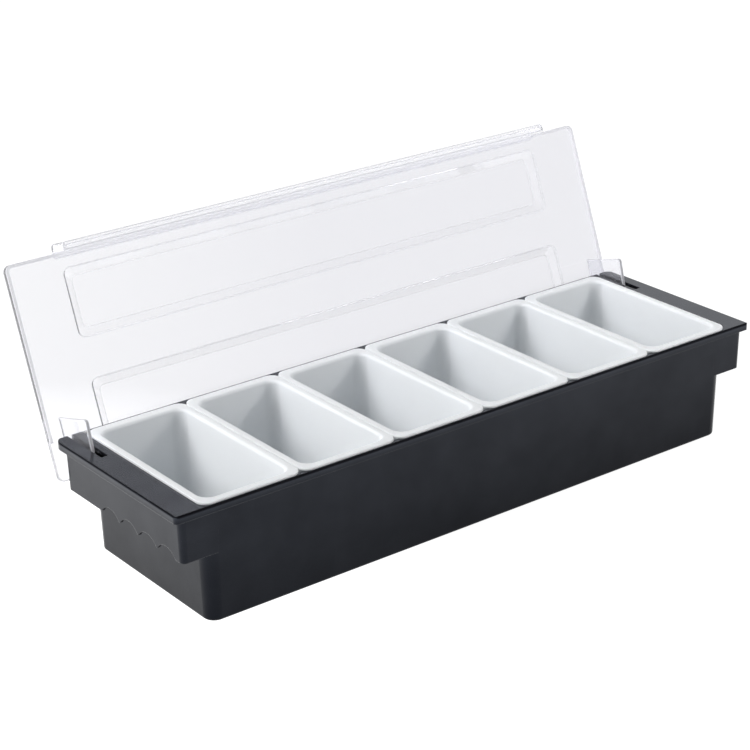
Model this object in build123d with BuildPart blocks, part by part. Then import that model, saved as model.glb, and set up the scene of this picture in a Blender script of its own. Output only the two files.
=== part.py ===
"""Six-compartment condiment caddy with one clear flip lid, shown open.

Millimetres, +Z up, +Y towards the hinge. The origin is the middle of the underside.
"""
import os
from math import cos, hypot, radians, sin, sqrt
from build123d import *

# outer sizes
LENGTH = 495.0            # deck, end to end
WIDTH = 147.0             # deck, front to back
HEIGHT = 83.0             # underside to deck top

# inserts: six equal white tubs hanging by their rims
INSERTS = 6
INSERT_GAP = 0.35
END_DECK = 20.7           # deck left showing beyond the row at each end
RIM_FRONT_IN = 2.0        # deck's front edge to the rims
RIM_BACK_IN = 4.5
RIM_R = 7.5
RIM_THICK = 1.8
RIM_ROUND = 0.8
LEDGE_SIDE = 5.65         # rim width at the well's mouth
LEDGE_FRONT = 6.3
LEDGE_BACK = 7.8
WELL_R = 8.0
WELL_TAPER_X = 3.0        # how far each side comes in on the way down
WELL_TAPER_Y = 5.3
WELL_R_LOW = 9.0
WELL_FLOOR_R = 7.0
WELL_MOUTH_R = 2.2
INSERT_WALL = 1.7
INSERT_LIFT = 9.0         # under the insert, above the tub's floor

# base: one black moulding, a tub under a flat deck with a hollow grip block at each end
DECK_EDGE = 5.0           # height of the deck's outer edge
DECK_SKIN = 2.5           # deck thickness over the grip blocks
DECK_FRONT_R = 3.0        # corners of the deck in plan
DECK_BACK_R = 7.5
FRONT_ROUND = 1.6         # top edge of the deck along the front
END_ROUND = 1.2           # and at both ends
BACK_ROUND = 0.8          # and along the back
DRAFT = 1.38              # degrees, outside walls
BAY_END_IN = 3.3          # bay edge inside the ends of the row of rims
BAY_FRONT_IN = 4.6        # deck's front edge to the bay
BAY_BACK_IN = 7.9
BAY_DRAFT = 2.1
BAY_R = 8.0
TUB_WALL_END = 2.5        # at the deck; the drafts make it thicker lower down
TUB_WALL_SIDE = 2.6
TUB_R = 10.5
TUB_FLOOR = 2.5
TUB_FOOT_R = 2.0
GRIP_OVERHANG = 4.2       # deck past the grip block's end wall
GRIP_BACK_IN = 4.3        # deck's back edge to the grip block
GRIP_DEPTH = 34.6         # from the deck top down to the lower edge of the block
GRIP_WALL = 3.0
GRIP_BACK_WALL = 2.5
GRIP_R = 4.5
SCALLOPS = 4              # finger scallops in the lower edge of each end wall
SCALLOP_PITCH = 22.2
SCALLOP_CHORD = 21.0
SCALLOP_RISE = 5.6
SCALLOP_START = 9.2       # from the block's front to the first scallop

# hinge
EAR_IN = 12.4             # deck's end to the middle of the ear
EAR_T = 2.2
EAR_PLAY = 1.4            # either side of the ear in its slot
SLOT_CLEAR = 0.5
SLOT_R = 1.0
SLOT_BELOW = 13.2         # slot in the back wall, down from the pivot
PIVOT_IN = 14.7           # deck's back edge to the pivot
PIVOT_DROP = 10.8         # pivot line below the deck top
PIN_R = 3.0
PIN_CLEAR = 0.06          # radial running clearance
PIN_REACH = 3.7           # from the ear's face into the cheek
CHEEK_R = 8.0
CHEEK_T = 2.9
BORE_END = 0.4            # room past the end of the outer pin

# lid: one clear moulding
LID_OPEN = 111.0          # degrees from shut to the open stop
LID_SHY = 0.1             # short of the deck at each end
LID_BACK_IN = 0.4         # deck's back edge to the lid's hinge edge, shut
LID_FRONT_IN = 0.2        # deck's front edge to the plate's front edge, shut
LID_T = 2.5
LID_R = 5.0
LID_ABOVE = 7.5           # inner face above the deck top when shut
LID_RIM_T = 2.0
LID_RIM_DEEP = 2.5
LID_RIM_START = 27.0      # end rims stop short of the hinge edge to pass the deck
PANELS = 2                # raised panels
PANEL_END = 41.4          # lid's end to the panels
PANEL_BACK = 12.6         # hinge edge to the first panel
PANEL_FRONT = 10.7        # last panel to the front edge
PANEL_GAP = 27.7          # between panels
PANEL_RISE = 4.0
PANEL_SLOPE = 6.0         # width of the sloping side
PANEL_R = 5.0
LIP_END = 38.4            # lid's end to the finger lip
LIP_FORWARD = 6.4         # past the front edge
LIP_GAP = 0.8             # the hanging part stands off the plate's edge, to pass the deck
LIP_UP = 4.0              # above the inner face
LIP_HANG = 14.0           # below the inner face
LIP_T = 1.8
LIP_R = 3.0
EAR_ROOT = 7.0            # hinge edge to the ear
EAR_END = 41.5
EAR_TIP = 38.5
EAR_DEEP = 37.5
EAR_HEEL = 17.0
EAR_HEEL_DEEP = 35.0
EAR_R = 2.5
BOSS_R = 6.5

# row of inserts
row_length = LENGTH - 2 * END_DECK
rim_length = (row_length - (INSERTS - 1) * INSERT_GAP) / INSERTS
rim_front = WIDTH / 2 - RIM_FRONT_IN
rim_back = WIDTH / 2 - RIM_BACK_IN
well_length = rim_length - 2 * LEDGE_SIDE
well_front = rim_front - LEDGE_FRONT
well_back = rim_back - LEDGE_BACK
well_width = well_front + well_back
well_middle = (well_back - well_front) / 2
rim_top = HEIGHT + RIM_THICK
insert_low = TUB_FLOOR + INSERT_LIFT

# base
bay_length = row_length - 2 * BAY_END_IN
bay_front = WIDTH / 2 - BAY_FRONT_IN
bay_back = WIDTH / 2 - BAY_BACK_IN
tub_length = bay_length + 2 * TUB_WALL_END
tub_front = bay_front + TUB_WALL_SIDE
tub_back = bay_back + TUB_WALL_SIDE
deck_under = HEIGHT - DECK_EDGE
tub_top = HEIGHT - DECK_SKIN / 2      # outside walls start inside the deck
grip_low = HEIGHT - GRIP_DEPTH
grip_out = LENGTH / 2 - GRIP_OVERHANG
grip_back = WIDTH / 2 - GRIP_BACK_IN
hollow_back = grip_back - GRIP_BACK_WALL

# lid, along its own plane from the hinge edge and inward from its inner face
ear_x = LENGTH / 2 - EAR_IN
pivot_y = WIDTH / 2 - PIVOT_IN
pivot_z = HEIGHT - PIVOT_DROP
pivot_s = PIVOT_IN - LID_BACK_IN
pivot_n = PIVOT_DROP + LID_ABOVE
lid_length = LENGTH - 2 * LID_SHY
lid_depth = WIDTH - LID_BACK_IN - LID_FRONT_IN
panel_length = lid_length - 2 * PANEL_END
panel_depth = (lid_depth - PANEL_BACK - PANEL_FRONT - (PANELS - 1) * PANEL_GAP) / PANELS
lip_length = lid_length - 2 * LIP_END
ear_reach = hypot(EAR_TIP - EAR_R - pivot_s, EAR_DEEP - EAR_R - pivot_n) + EAR_R
slot_front = pivot_y - sqrt(ear_reach ** 2 - (PIVOT_DROP - DECK_SKIN) ** 2) - SLOT_CLEAR
slot_width = EAR_T + 2 * EAR_PLAY


ENDS = (-1, 1)            # left and right ends

# ---------------------------------------------------------------- base
with BuildPart() as base:
    # deck: its top edges are rounded in the end and front views, its corners in plan
    with BuildSketch(Plane.YZ.offset(-LENGTH / 2)) as deck_end:
        with Locations((0, HEIGHT - DECK_EDGE / 2)):
            Rectangle(WIDTH, DECK_EDGE)
        fillet(deck_end.vertices().group_by(Axis.Y)[-1].sort_by(Axis.X)[0], FRONT_ROUND)
        fillet(deck_end.vertices().group_by(Axis.Y)[-1].sort_by(Axis.X)[-1], BACK_ROUND)
    extrude(amount=LENGTH)
    with BuildSketch(Plane.XY.offset(deck_under - 1)) as deck_plan:
        Rectangle(LENGTH, WIDTH)
        fillet(deck_plan.vertices().group_by(Axis.Y)[0], DECK_FRONT_R)
        fillet(deck_plan.vertices().group_by(Axis.Y)[-1], DECK_BACK_R)
    extrude(amount=DECK_EDGE + 2, mode=Mode.INTERSECT)
    with BuildSketch(Plane.XZ) as deck_front:
        with Locations((0, HEIGHT - DECK_EDGE / 2)):
            Rectangle(LENGTH, DECK_EDGE)
        fillet(deck_front.vertices().group_by(Axis.Y)[-1], END_ROUND)
    extrude(amount=WIDTH, both=True, mode=Mode.INTERSECT)

    # grip blocks, hollow and open below
    for end in ENDS:
        block_in = tub_length / 2 - TUB_R
        block_at = (end * (grip_out + block_in) / 2, (grip_back - tub_front) / 2)
        with BuildSketch(Plane.XY.offset(tub_top)) as block:
            with Locations(block_at):
                Rectangle(grip_out - block_in, grip_back + tub_front)
            fillet(block.vertices().group_by(Axis.X)[0 if end < 0 else -1], GRIP_R)
        extrude(amount=-(tub_top - grip_low), taper=DRAFT)
    for end in ENDS:
        hollow_out = grip_out - GRIP_WALL
        hollow_in = tub_length / 2 - TUB_R / 2
        hollow_at = (end * (hollow_out + hollow_in) / 2, (hollow_back - bay_front) / 2)
        with BuildSketch(Plane.XY.offset(HEIGHT - DECK_SKIN)):
            with Locations(hollow_at):
                Rectangle(hollow_out - hollow_in, hollow_back + bay_front)
        extrude(amount=-GRIP_DEPTH, mode=Mode.SUBTRACT)
        # finger scallops along the lower edge of the end wall
        scallop_r = (SCALLOP_CHORD ** 2 / 4 + SCALLOP_RISE ** 2) / (2 * SCALLOP_RISE)
        scallop_row = (SCALLOPS - 1) * SCALLOP_PITCH + SCALLOP_CHORD
        scallop_y = -tub_front + SCALLOP_START + scallop_row / 2
        with BuildSketch(Plane.YZ.offset(end * (grip_out - 2 * GRIP_WALL))):
            with Locations((scallop_y, grip_low + SCALLOP_RISE - scallop_r)):
                with GridLocations(SCALLOP_PITCH, 1, SCALLOPS, 1):
                    Circle(scallop_r)
        extrude(amount=end * 3 * GRIP_WALL, mode=Mode.SUBTRACT)

    # tub
    with BuildSketch(Plane.XY.offset(tub_top)):
        with Locations((0, (tub_back - tub_front) / 2)):
            RectangleRounded(tub_length, tub_front + tub_back, TUB_R)
    extrude(amount=-tub_top, taper=DRAFT)
    fillet(base.faces().sort_by(Axis.Z)[0].outer_wire().edges(), TUB_FOOT_R)
    with BuildSketch(Plane.XY.offset(HEIGHT)):
        with Locations((0, (bay_back - bay_front) / 2)):
            RectangleRounded(bay_length, bay_front + bay_back, BAY_R)
    extrude(amount=-(HEIGHT - TUB_FLOOR), taper=BAY_DRAFT, mode=Mode.SUBTRACT)

    # hinge: bearing cheeks either side of each ear slot
    for end in ENDS:
        slot_in = ear_x - slot_width / 2
        slot_out = ear_x + slot_width / 2
        cheek_front = pivot_y - CHEEK_R
        cheek_top = HEIGHT - DECK_SKIN
        cheeks = (
            (slot_in - CHEEK_T, CHEEK_T),
            (slot_out, grip_out - GRIP_WALL / 2 - slot_out),
        )
        for start, depth in cheeks:
            with BuildSketch(Plane.YZ.offset(end * start)):
                with Locations((pivot_y, pivot_z)):
                    Circle(CHEEK_R)
                with Locations(((cheek_front + hollow_back) / 2, (pivot_z + cheek_top) / 2)):
                    Rectangle(hollow_back - cheek_front, cheek_top - pivot_z)
            extrude(amount=end * depth)
        # slot through the deck, its back edge and the block's back wall
        slot_length = WIDTH / 2 + DECK_EDGE - slot_front
        with BuildSketch(Plane.XY.offset(HEIGHT)) as slot:
            with Locations((end * ear_x, slot_front + slot_length / 2)):
                Rectangle(slot_width, slot_length)
            fillet(slot.vertices().group_by(Axis.Y)[0], SLOT_R)
        extrude(amount=-(PIVOT_DROP + SLOT_BELOW), mode=Mode.SUBTRACT)
        # bores: through the inner cheek, blind in the outer one
        bore_in = slot_in - 1.5 * CHEEK_T
        bore_out = ear_x + EAR_T / 2 + PIN_REACH + BORE_END
        with BuildSketch(Plane.YZ.offset(end * bore_in)):
            with Locations((pivot_y, pivot_z)):
                Circle(PIN_R + PIN_CLEAR)
        extrude(amount=end * (bore_out - bore_in), mode=Mode.SUBTRACT)
base.part.label = "base"

# ---------------------------------------------------------------- lid
# drawn open, in its own plane: x along the hinge, y from the hinge edge, z to the inside
lean = radians(LID_OPEN - 90)
up = (0, sin(lean), cos(lean))
inward = (0, -cos(lean), sin(lean))
edge_y = pivot_y - pivot_s * up[1] - pivot_n * inward[1]
edge_z = pivot_z - pivot_s * up[2] - pivot_n * inward[2]
lid_plane = Plane(origin=(0, edge_y, edge_z), x_dir=(1, 0, 0), z_dir=inward)


def panel_loft(level, mode):
    """Frustums of the raised panels, with their feet at a height off the inner face."""
    for row in range(PANELS):
        middle = PANEL_BACK + panel_depth / 2 + row * (panel_depth + PANEL_GAP)
        crown_length = panel_length - 2 * PANEL_SLOPE
        crown_depth = panel_depth - 2 * PANEL_SLOPE
        with BuildSketch(lid_plane.offset(level)) as foot:
            with Locations((0, middle)):
                RectangleRounded(panel_length, panel_depth, PANEL_R)
        with BuildSketch(lid_plane.offset(level - PANEL_RISE)) as crown:
            with Locations((0, middle)):
                RectangleRounded(crown_length, crown_depth, 0.8 * PANEL_R)
        loft(sections=[foot.sketch, crown.sketch], mode=mode)


with BuildPart() as lid:
    with BuildSketch(lid_plane.offset(-LID_T)):
        with Locations((0, lid_depth / 2)):
            RectangleRounded(lid_length, lid_depth, LID_R)
    extrude(amount=LID_T)
    # shallow rim down both ends and along the front
    with BuildSketch(lid_plane):
        with Locations((0, lid_depth / 2)):
            inner_length = lid_length - 2 * LID_RIM_T
            inner_depth = lid_depth - 2 * LID_RIM_T
            RectangleRounded(lid_length, lid_depth, LID_R)
            RectangleRounded(inner_length, inner_depth, LID_R - LID_RIM_T, mode=Mode.SUBTRACT)
        with Locations((0, LID_RIM_START / 2)):
            Rectangle(lid_length, LID_RIM_START, mode=Mode.SUBTRACT)
    extrude(amount=LID_RIM_DEEP)
    # raised panels, hollow behind
    panel_loft(-LID_T, Mode.ADD)
    panel_loft(0, Mode.SUBTRACT)
    # finger lip: a channel past the front edge, hanging in front of the deck when shut
    with BuildSketch(lid_plane.offset(-LIP_UP)) as lip_top:
        with Locations((0, lid_depth + (LIP_FORWARD - LIP_R) / 2)):
            Rectangle(lip_length, LIP_FORWARD + LIP_R)
        fillet(lip_top.vertices().group_by(Axis.Y)[-1], LIP_R)
    extrude(amount=LIP_T)
    with BuildSketch(lid_plane.offset(-LIP_UP)) as lip_body:
        with Locations((0, lid_depth + (LIP_FORWARD + LIP_GAP) / 2)):
            Rectangle(lip_length, LIP_FORWARD - LIP_GAP)
        fillet(lip_body.vertices().group_by(Axis.Y)[-1], LIP_R)
    extrude(amount=LIP_UP + LIP_HANG)
    with BuildSketch(lid_plane.offset(LIP_T - LIP_UP)) as lip_void:
        with Locations((0, lid_depth + (LIP_FORWARD - LIP_T) / 2)):
            Rectangle(lip_length - 2 * LIP_T, LIP_FORWARD - LIP_T)
        fillet(lip_void.vertices().group_by(Axis.Y)[-1], LIP_R - LIP_T)
    extrude(amount=LIP_UP + LIP_HANG - 2 * LIP_T, mode=Mode.SUBTRACT)
    # ears with stub pins
    for end in ENDS:
        ear_start = (end * ear_x - EAR_T / 2, edge_y, edge_z)
        ear_plane = Plane(origin=ear_start, x_dir=up, z_dir=(1, 0, 0))
        with BuildSketch(ear_plane) as ear:
            with BuildLine():
                Polyline(
                    (EAR_ROOT, -LID_T / 2),
                    (EAR_END, -LID_T / 2),
                    (EAR_TIP, EAR_DEEP),
                    (EAR_HEEL, EAR_HEEL_DEEP),
                    (pivot_s - BOSS_R, pivot_n + BOSS_R / 3),
                    (EAR_ROOT, 0),
                    close=True,
                )
            make_face()
            fillet(ear.vertices().sort_by(Axis.Y)[-1], EAR_R)
            with Locations((pivot_s, pivot_n)):
                Circle(BOSS_R)
        extrude(amount=EAR_T)
        with BuildSketch(ear_plane.offset(-PIN_REACH)):
            with Locations((pivot_s, pivot_n)):
                Circle(PIN_R)
        extrude(amount=EAR_T + 2 * PIN_REACH)
lid.part.label = "lid"

# ---------------------------------------------------------------- inserts
well_floor = insert_low + INSERT_WALL
low_length = well_length - 2 * WELL_TAPER_X
low_width = well_width - 2 * WELL_TAPER_Y
skin = 2 * INSERT_WALL
with BuildPart() as shell:
    with BuildSketch(Plane.XY.offset(HEIGHT)):
        with Locations((0, (rim_back - rim_front) / 2)):
            RectangleRounded(rim_length, rim_front + rim_back, RIM_R)
    extrude(amount=RIM_THICK)
    fillet(shell.faces().sort_by(Axis.Z)[-1].outer_wire().edges(), RIM_ROUND)
    with BuildSketch(Plane.XY.offset(HEIGHT)) as shell_top:
        with Locations((0, well_middle)):
            RectangleRounded(well_length + skin, well_width + skin, WELL_R + INSERT_WALL)
    with BuildSketch(Plane.XY.offset(insert_low)) as shell_low:
        with Locations((0, well_middle)):
            RectangleRounded(low_length + skin, low_width + skin, WELL_R_LOW + INSERT_WALL)
    loft(sections=[shell_top.sketch, shell_low.sketch])
    fillet(shell.faces().sort_by(Axis.Z)[0].outer_wire().edges(), WELL_FLOOR_R + INSERT_WALL)
with BuildPart() as well:
    with BuildSketch(Plane.XY.offset(rim_top)) as well_top:
        with Locations((0, well_middle)):
            RectangleRounded(well_length, well_width, WELL_R)
    with BuildSketch(Plane.XY.offset(well_floor)) as well_low:
        with Locations((0, well_middle)):
            RectangleRounded(low_length, low_width, WELL_R_LOW)
    loft(sections=[well_top.sketch, well_low.sketch])
    fillet(well.faces().sort_by(Axis.Z)[0].outer_wire().edges(), WELL_FLOOR_R)
with BuildPart() as insert:
    add(shell.part)
    add(well.part, mode=Mode.SUBTRACT)
    mouth = insert.faces().filter_by(Axis.Z).sort_by(Axis.Z)[-1].inner_wires()[0].edges()
    fillet(mouth, WELL_MOUTH_R)

# ---------------------------------------------------------------- export
os.makedirs("parts", exist_ok=True)
export_step(base.part, "parts/base.step")
export_step(lid.part, "parts/lid.step")
for index in range(INSERTS):
    offset = (index - (INSERTS - 1) / 2) * (rim_length + INSERT_GAP)
    placed = insert.part.moved(Location((offset, 0, 0)))
    placed.label = f"insert_{index + 1}"
    export_step(placed, f"parts/insert_{index + 1}.step")
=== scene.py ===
"""Looks, light and camera for the six-compartment condiment caddy with a clear flip lid."""
from math import cos, radians, sin

import bpy
from mathutils import Matrix, Vector

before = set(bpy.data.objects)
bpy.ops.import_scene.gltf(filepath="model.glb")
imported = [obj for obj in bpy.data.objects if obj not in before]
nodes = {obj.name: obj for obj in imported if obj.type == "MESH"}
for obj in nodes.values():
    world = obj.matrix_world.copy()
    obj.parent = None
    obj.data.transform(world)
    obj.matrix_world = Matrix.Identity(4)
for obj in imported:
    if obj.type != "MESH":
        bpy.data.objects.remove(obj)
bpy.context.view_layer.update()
scene = bpy.context.scene


# ---------------------------------------------------------------- shader nodes
def feed(tree, node, inputs):
    """Links each of a node's inputs to an output, or sets it to a plain value."""
    for name, value in inputs.items():
        if isinstance(value, bpy.types.NodeSocket):
            tree.links.new(value, node.inputs[name])
        else:
            node.inputs[name].default_value = value


def add(tree, kind, inputs=None):
    """A new shader node with its inputs."""
    node = tree.nodes.new("ShaderNode" + kind)
    feed(tree, node, inputs or {})
    return node


def object_space(tree):
    """Where a point lies on its node, in metres in the shared frame at rest."""
    return add(tree, "TexCoord").outputs["Object"]


def axis(tree, vector, name):
    """One coordinate of a vector."""
    return add(tree, "SeparateXYZ", {"Vector": vector}).outputs[name]


def noise(tree, coord, scale, detail=3.0, rough=0.5):
    """A noise texture in cycles per metre."""
    inputs = {"Vector": coord, "Scale": scale, "Detail": detail, "Roughness": rough}
    return add(tree, "TexNoise", inputs).outputs["Fac"]


def remap(tree, value, low, high, start=0.3, end=0.7):
    """Spreads a value between start and end over a range, and holds it there beyond them."""
    source = {"Value": value, "From Min": start, "From Max": end}
    target = {"To Min": low, "To Max": high}
    return add(tree, "MapRange", {**source, **target}).outputs["Result"]


def maths(tree, operation, first, second):
    """A number from two numbers."""
    node = add(tree, "Math", {0: first, 1: second})
    node.operation = operation
    return node.outputs["Value"]


def measure(tree, operation, first, second):
    """A number from two vectors, such as their dot product."""
    node = add(tree, "VectorMath")
    node.operation = operation
    feed(tree, node, {0: first, 1: second})
    return node.outputs["Value"]


def mix(tree, data_type, factor, first, second):
    """A colour or number between two others."""
    node = add(tree, "Mix")
    node.data_type = data_type
    feed(tree, node, {"Factor": factor, "A": first, "B": second})
    return node.outputs["Result"]


def ramp(tree, value, *stops):
    """Colours along a value; each stop is a position and a colour."""
    node = add(tree, "ValToRGB", {"Fac": value})
    elements = node.color_ramp.elements
    for end in (0, -1):
        elements[end].position, elements[end].color = stops[end]
    for position, colour in stops[1:-1]:
        elements.new(position).color = colour
    return node.outputs["Color"]


def grey_ramp(tree, value, stops):
    """Levels along a value; each stop is a position and a level."""
    greys = [(position, (level, level, level, 1)) for position, level in stops]
    return ramp(tree, value, *greys)


def bump(tree, height, strength, distance, normal=None):
    """A surface normal tilted by a height, on top of another normal if one is given."""
    node = add(tree, "Bump", {"Height": height, "Strength": strength, "Distance": distance})
    if normal is not None:
        feed(tree, node, {"Normal": normal})
    return node.outputs["Normal"]


def rounded(tree, radius):
    """The normal as if sharp edges were rounded to a radius."""
    node = add(tree, "Bevel", {"Radius": radius})
    node.samples = BEVEL_SAMPLES
    return node.outputs["Normal"]


def new_material(name):
    """A node material with its tree and its output, and nothing else in it."""
    material = bpy.data.materials.new(name)
    material.use_nodes = True
    material.node_tree.nodes.clear()
    return material, material.node_tree, add(material.node_tree, "OutputMaterial")


def dress(names, material):
    """Gives CAD nodes a material in all their slots."""
    for name in names:
        for slot in nodes[name].material_slots:
            slot.material = material


# ---------------------------------------------------------------- finish values
# Lengths are in metres, noise scales in cycles per metre. A pair is the two ends of a range.
BEVEL_SAMPLES = 6
DECK_LEVEL = 0.083                      # height of the deck

BLACK_FOOT = (0.002, 0.002, 0.003, 1)   # colour near the table, darkened by painted shade
BLACK_DECK = (0.008, 0.008, 0.010, 1)   # and at the deck, painted paler
BLACK_TINT = (0.70, 0.80, 1.0, 1)       # of what it reflects
BLACK_IOR = 1.37
BLACK_ROUGHNESS = (0.08, 0.20)
BLACK_SHADE_MOTTLE = (0.75, 1.15)               # how unevenly the painted shade by height comes in
BLACK_CLOUD = (0.86, 1.14)              # how unevenly it reflects
BLACK_GLOSS = ((0.0, 0.20), (0.95, 0.42), (1.0, 0.88))  # painted shade in the reflections, weaker towards the foot, by share of the deck's height
EDGE_PAINTED_DARK = ((0.40, 1.0), (0.60, 0.15), (0.96, 0.15), (0.995, 1.0))  # painted dark line of weak reflection on rounded edges, by how far they face up
EDGE_ROUND = 0.0009
BLACK_MOTTLE = {"scale": 34.0, "detail": 6.0, "rough": 0.6}
BLACK_RIPPLE = {"scale": 26.0}
BLACK_GRAIN = {"scale": 1500.0, "detail": 2.0}
RIPPLE_BUMP = {"strength": 0.30, "distance": 0.0005}
BLACK_BUMP = {"strength": 0.12, "distance": 0.00004}

WHITE_DIM = (0.79, 0.82, 0.845, 1)
WHITE_PALE = (0.84, 0.865, 0.885, 1)
WHITE_IOR = 1.45
WHITE_ROUGHNESS = (0.50, 0.60)
WHITE_SOFTNESS = 0.8                    # share of the light that goes into the plastic
WHITE_DEPTH = 0.006                     # and how far it goes
WHITE_CLOUD = {"scale": 16.0, "detail": 4.0}
WHITE_GRAIN = {"scale": 1100.0, "detail": 2.0}
WHITE_BUMP = {"strength": 0.10, "distance": 0.00004}

LID_LEFT = (0.90, 0.90, 0.92, 1)        # surface tints of the clear plastic; painted shade from left to right
LID_RIGHT = (0.83, 0.83, 0.86, 1)
# painted highlight: the finger lip is tinted paler
LID_LIP = (0.98, 0.98, 0.99, 1)
# painted grey of the lines along the creases and cut edges, standing in for refraction there
LID_CREASE_GREY = (0.72, 0.72, 0.76, 1)
LID_SHADOW = (0.90, 0.90, 0.92, 1)      # share of the lamps' light that passes it
LID_DEPTH = (0.70, 0.70, 0.78, 1)       # tint with thickness
LID_DENSITY = 3.0
LID_IOR = 1.5
LID_ROUGHNESS = (0.0, 0.03)
LID_CLARITY = (0.95, 0.20)              # share that passes where clear, and on the painted crease lines
LID_PALEST = 0.24                      # to the left of the middle, where the painted tone is palest
LID_LEAN = radians(21)                  # of the open lid, from upright
LIP_FROM = 0.2206                       # up the open lid's slope, where the finger lip and its painted paler band start
LIP_FADE = 0.001
CREASE_WIDTH = 0.0008                   # of the painted grey lines along its creases
CREASE_TURN = (0.955, 1.0)              # cosine of the turn there
EDGE_DEPTH = 0.0019                     # thickness that counts as a cut edge
EDGE_OPEN = (0.55, 0.90)                # openness inside such an edge and inside the plate
EDGE_SAMPLES = 8
LID_HAZE = {"scale": 14.0, "detail": 4.0}
LID_FLOW = {"scale": 11.0, "detail": 1.0}
FLOW_BUMP = {"strength": 0.2, "distance": 0.0004}

FLOOR_DIM = (0.11, 0.11, 0.112, 1)
FLOOR_PALE = (0.13, 0.13, 0.132, 1)
FLOOR_ROUGHNESS = 0.8
FLOOR_SHINE = 0.2
FLOOR_CLOUD = {"scale": 3.0}
FLOOR_GLOW = 0.96                       # light from the table itself
GLOW_PEAK = 1.40                        # and in a painted pool of light close to the caddy's left end
GLOW_AT = (-0.30, 0.08, 0)
GLOW_INNER = 0.14
GLOW_OUTER = 0.32


# ---------------------------------------------------------------- materials
def black_moulding():
    """Polished black plastic with painted shade: darker and duller towards the foot, paler and
    glossier at the deck, and a painted dark line along its rounded edges.
    """
    material, tree, out = new_material("base_black")
    coord = object_space(tree)
    mottle = noise(tree, coord, **BLACK_MOTTLE)
    height = remap(tree, axis(tree, coord, "Z"), 0.0, 1.0, 0.0, DECK_LEVEL)
    # painted shade: the base colour darkens towards the foot and pales at the deck, unevenly by
    # the mottle
    painted_height_shade = maths(tree, "MULTIPLY", height, remap(tree, mottle, *BLACK_SHADE_MOTTLE))
    edge = rounded(tree, EDGE_ROUND)
    # painted shade in the reflections: they weaken towards the foot and strengthen on the deck
    gloss = grey_ramp(tree, height, BLACK_GLOSS)
    cloudy_painted_gloss = maths(tree, "MULTIPLY", gloss, remap(tree, mottle, *BLACK_CLOUD))
    # painted dark line: reflections weaken along the rounded edges
    painted_dark_edge = grey_ramp(tree, axis(tree, edge, "Z"), EDGE_PAINTED_DARK)
    flow = bump(tree, noise(tree, coord, **BLACK_RIPPLE), **RIPPLE_BUMP, normal=edge)
    shader = add(tree, "BsdfPrincipled", {
        "Base Color": ramp(tree, painted_height_shade, (0.0, BLACK_FOOT), (1.0, BLACK_DECK)),
        "Roughness": remap(tree, mottle, *BLACK_ROUGHNESS),
        "IOR": BLACK_IOR,
        "Specular IOR Level": maths(tree, "MULTIPLY", cloudy_painted_gloss, painted_dark_edge),
        "Specular Tint": BLACK_TINT,
        "Normal": bump(tree, noise(tree, coord, **BLACK_GRAIN), **BLACK_BUMP, normal=flow),
    })
    feed(tree, out, {"Surface": shader.outputs["BSDF"]})
    return material


def white_moulding():
    """Cool white translucent plastic with a satin surface."""
    material, tree, out = new_material("insert_white")
    coord = object_space(tree)
    cloud = noise(tree, coord, **WHITE_CLOUD)
    shader = add(tree, "BsdfPrincipled", {
        "Base Color": ramp(tree, cloud, (0.0, WHITE_DIM), (1.0, WHITE_PALE)),
        "Roughness": remap(tree, cloud, *WHITE_ROUGHNESS),
        "IOR": WHITE_IOR,
        "Subsurface Weight": WHITE_SOFTNESS,
        "Subsurface Radius": (1.0, 1.0, 1.0),
        "Subsurface Scale": WHITE_DEPTH,
        "Normal": bump(tree, noise(tree, coord, **WHITE_GRAIN), **WHITE_BUMP),
    })
    feed(tree, out, {"Surface": shader.outputs["BSDF"]})
    return material


def lid_crease_lines(tree):
    """1 along the lid's creases and thin cut edges, where grey lines are painted in place of the
    dark lines their refraction makes.
    """
    flat = add(tree, "NewGeometry").outputs["Normal"]
    turned = measure(tree, "DOT_PRODUCT", rounded(tree, CREASE_WIDTH), flat)
    crease = remap(tree, turned, 1.0, 0.0, *CREASE_TURN)
    inner = add(tree, "AmbientOcclusion", {"Distance": EDGE_DEPTH})
    inner.inside = True
    inner.only_local = True
    inner.samples = EDGE_SAMPLES
    thin = remap(tree, inner.outputs["AO"], 1.0, 0.0, *EDGE_OPEN)
    return maths(tree, "MAXIMUM", crease, thin)


def clear_moulding():
    """Clear plastic with a faint haze, painted shade, and painted grey lines along its creases and
    edges; it lets lamps through.
    """
    material, tree, out = new_material("lid_clear")
    coord = object_space(tree)
    painted_creases = lid_crease_lines(tree)
    # painted shade: the lid is paler on the left and darker to the right
    across = remap(tree, axis(tree, coord, "X"), 0.0, 1.0, -LID_PALEST, 0.0)
    tone = ramp(tree, across, (0.0, LID_LEFT), (1.0, LID_RIGHT))
    up_slope = measure(tree, "DOT_PRODUCT", coord, (0, sin(LID_LEAN), cos(LID_LEAN)))
    # painted highlight: a paler band on the finger lip
    on_lip = remap(tree, up_slope, 0.0, 1.0, LIP_FROM - LIP_FADE, LIP_FROM)
    painted_tint = mix(tree, "RGBA", on_lip, tone, LID_LIP)
    shader = add(tree, "BsdfPrincipled", {
        "Base Color": mix(tree, "RGBA", painted_creases, painted_tint, LID_CREASE_GREY),
        "Transmission Weight": remap(tree, painted_creases, *LID_CLARITY, 0.0, 1.0),
        "IOR": LID_IOR,
        "Roughness": remap(tree, noise(tree, coord, **LID_HAZE), *LID_ROUGHNESS),
        "Normal": bump(tree, noise(tree, coord, **LID_FLOW), **FLOW_BUMP),
    })
    through = add(tree, "BsdfTransparent", {"Color": LID_SHADOW})
    lit = add(tree, "MixShader", {
        0: add(tree, "LightPath").outputs["Is Shadow Ray"],
        1: shader.outputs["BSDF"],
        2: through.outputs["BSDF"],
    })
    depth = add(tree, "VolumeAbsorption", {"Color": LID_DEPTH, "Density": LID_DENSITY})
    feed(tree, out, {"Surface": lit.outputs["Shader"], "Volume": depth.outputs["Volume"]})
    return material


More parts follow.
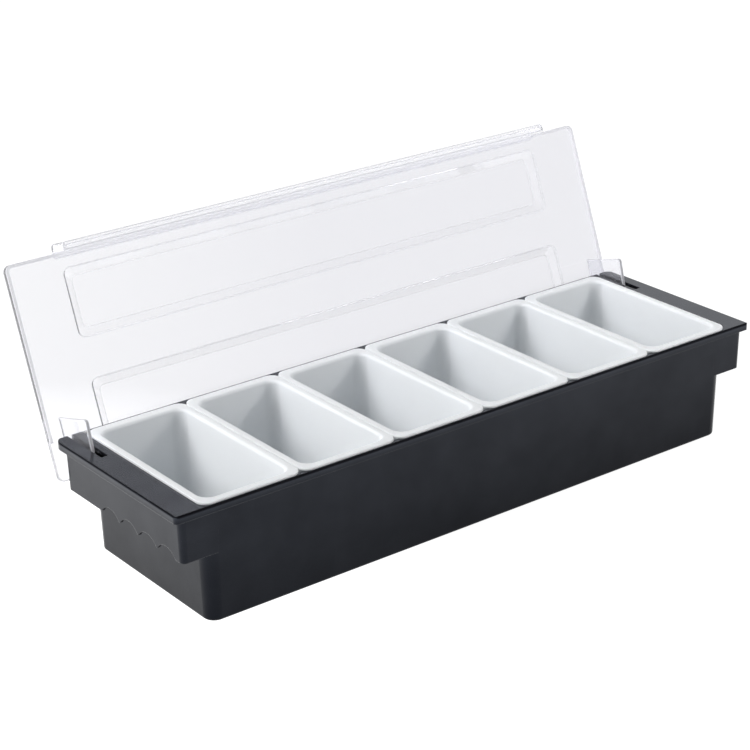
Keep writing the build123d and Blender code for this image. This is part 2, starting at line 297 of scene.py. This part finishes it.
def pale_floor():
    """A white light table, with a painted pool of light beside the caddy's left end."""
    material, tree, out = new_material("floor_pale")
    coord = object_space(tree)
    cloud = noise(tree, coord, **FLOOR_CLOUD)
    away = measure(tree, "DISTANCE", coord, GLOW_AT)
    shader = add(tree, "BsdfPrincipled", {
        "Base Color": ramp(tree, cloud, (0.0, FLOOR_DIM), (1.0, FLOOR_PALE)),
        "Roughness": FLOOR_ROUGHNESS,
        "Specular IOR Level": FLOOR_SHINE,
        "Emission Color": (1, 1, 1, 1),
        "Emission Strength": remap(tree, away, GLOW_PEAK, FLOOR_GLOW, GLOW_INNER, GLOW_OUTER),
    })
    feed(tree, out, {"Surface": shader.outputs["BSDF"]})
    return material


inserts = [name for name in nodes if name.startswith("insert_")]
dress(["base"], black_moulding())
dress(inserts, white_moulding())
dress(["lid"], clear_moulding())

# ---------------------------------------------------------------- floor
FLOOR_REACH = 6.0         # metres, half the floor's side

mesh = bpy.data.meshes.new("floor")
sides = ((-1, -1), (1, -1), (1, 1), (-1, 1))
corners = [(x * FLOOR_REACH, y * FLOOR_REACH, 0) for x, y in sides]
mesh.from_pydata(corners, [], [(0, 1, 2, 3)])
floor = bpy.data.objects.new("floor", mesh)
scene.collection.objects.link(floor)
mesh.materials.append(pale_floor())

# ---------------------------------------------------------------- light
SKY_COLOUR = (0.97, 0.98, 1.0, 1)
HORIZON = 1.0             # brightness of the low backdrop, behind and to the left
FRONT_SHARE = 0.42        # brightness of the same height on the camera's side
BACKDROP_WAY = (-0.6, 0.8, 0)
BACKDROP_EDGE = (-0.5, 0.2)  # cosine of the angle to that way, from front to backdrop
CEILING = 0.04            # brightness of the dark room above
CEILING_EDGE = (0.50, 0.60)  # sine of the elevation, from backdrop to ceiling


def studio_world():
    """A dark room with a low white backdrop behind and to the left of the caddy."""
    world = bpy.data.worlds.new("studio")
    world.use_nodes = True
    tree = world.node_tree
    way = add(tree, "TexCoord").outputs["Generated"]
    facing = measure(tree, "DOT_PRODUCT", way, BACKDROP_WAY)
    around = remap(tree, facing, FRONT_SHARE, HORIZON, *BACKDROP_EDGE)
    rise = remap(tree, axis(tree, way, "Z"), 0.0, 1.0, *CEILING_EDGE)
    level = mix(tree, "FLOAT", rise, around, CEILING)
    feed(tree, tree.nodes["Background"], {"Color": SKY_COLOUR, "Strength": level})
    return world


def softbox(name, place, target, size, power):
    """A square area light aimed at a point."""
    lamp = bpy.data.lights.new(name, "AREA")
    lamp.shape = "SQUARE"
    lamp.size = size
    lamp.energy = power
    box = bpy.data.objects.new(name, lamp)
    scene.collection.objects.link(box)
    box.location = place
    back = Vector(place) - Vector(target)
    box.rotation_euler = back.to_track_quat("Z", "Y").to_euler()
    return box


scene.world = studio_world()
softbox("key_left", place=(-2.25, 0.95, 2.05), target=(0, 0, 0.05), size=1.5, power=82.0)
softbox("fill_top", place=(0.1, 0.1, 2.2), target=(0, 0, 0), size=0.9, power=4.0)
side = softbox("side_right", place=(0.70, -0.60, 0.68), target=(0.1, 0, 0.05), size=0.3, power=4.8)
side.visible_glossy = False

# ---------------------------------------------------------------- camera
CAMERA_AT = (-0.8359, -1.0550, 0.6568)
CAMERA_TURN = -37.04      # degrees, to the right of straight back
CAMERA_TILT = 67.01       # degrees up from straight down
CAMERA_ROLL = -1.14
CAMERA_LENS = 101.67      # mm
CAMERA_SENSOR = 36.0      # mm

lens = bpy.data.cameras.new("camera")
lens.lens = CAMERA_LENS
lens.sensor_width = CAMERA_SENSOR
camera = bpy.data.objects.new("camera", lens)
scene.collection.objects.link(camera)
camera.matrix_world = (
    Matrix.Translation(CAMERA_AT)
    @ Matrix.Rotation(radians(CAMERA_TURN), 4, "Z")
    @ Matrix.Rotation(radians(CAMERA_TILT), 4, "X")
    @ Matrix.Rotation(radians(CAMERA_ROLL), 4, "Z")
)
scene.camera = camera
scene.view_settings.view_transform = "Standard"
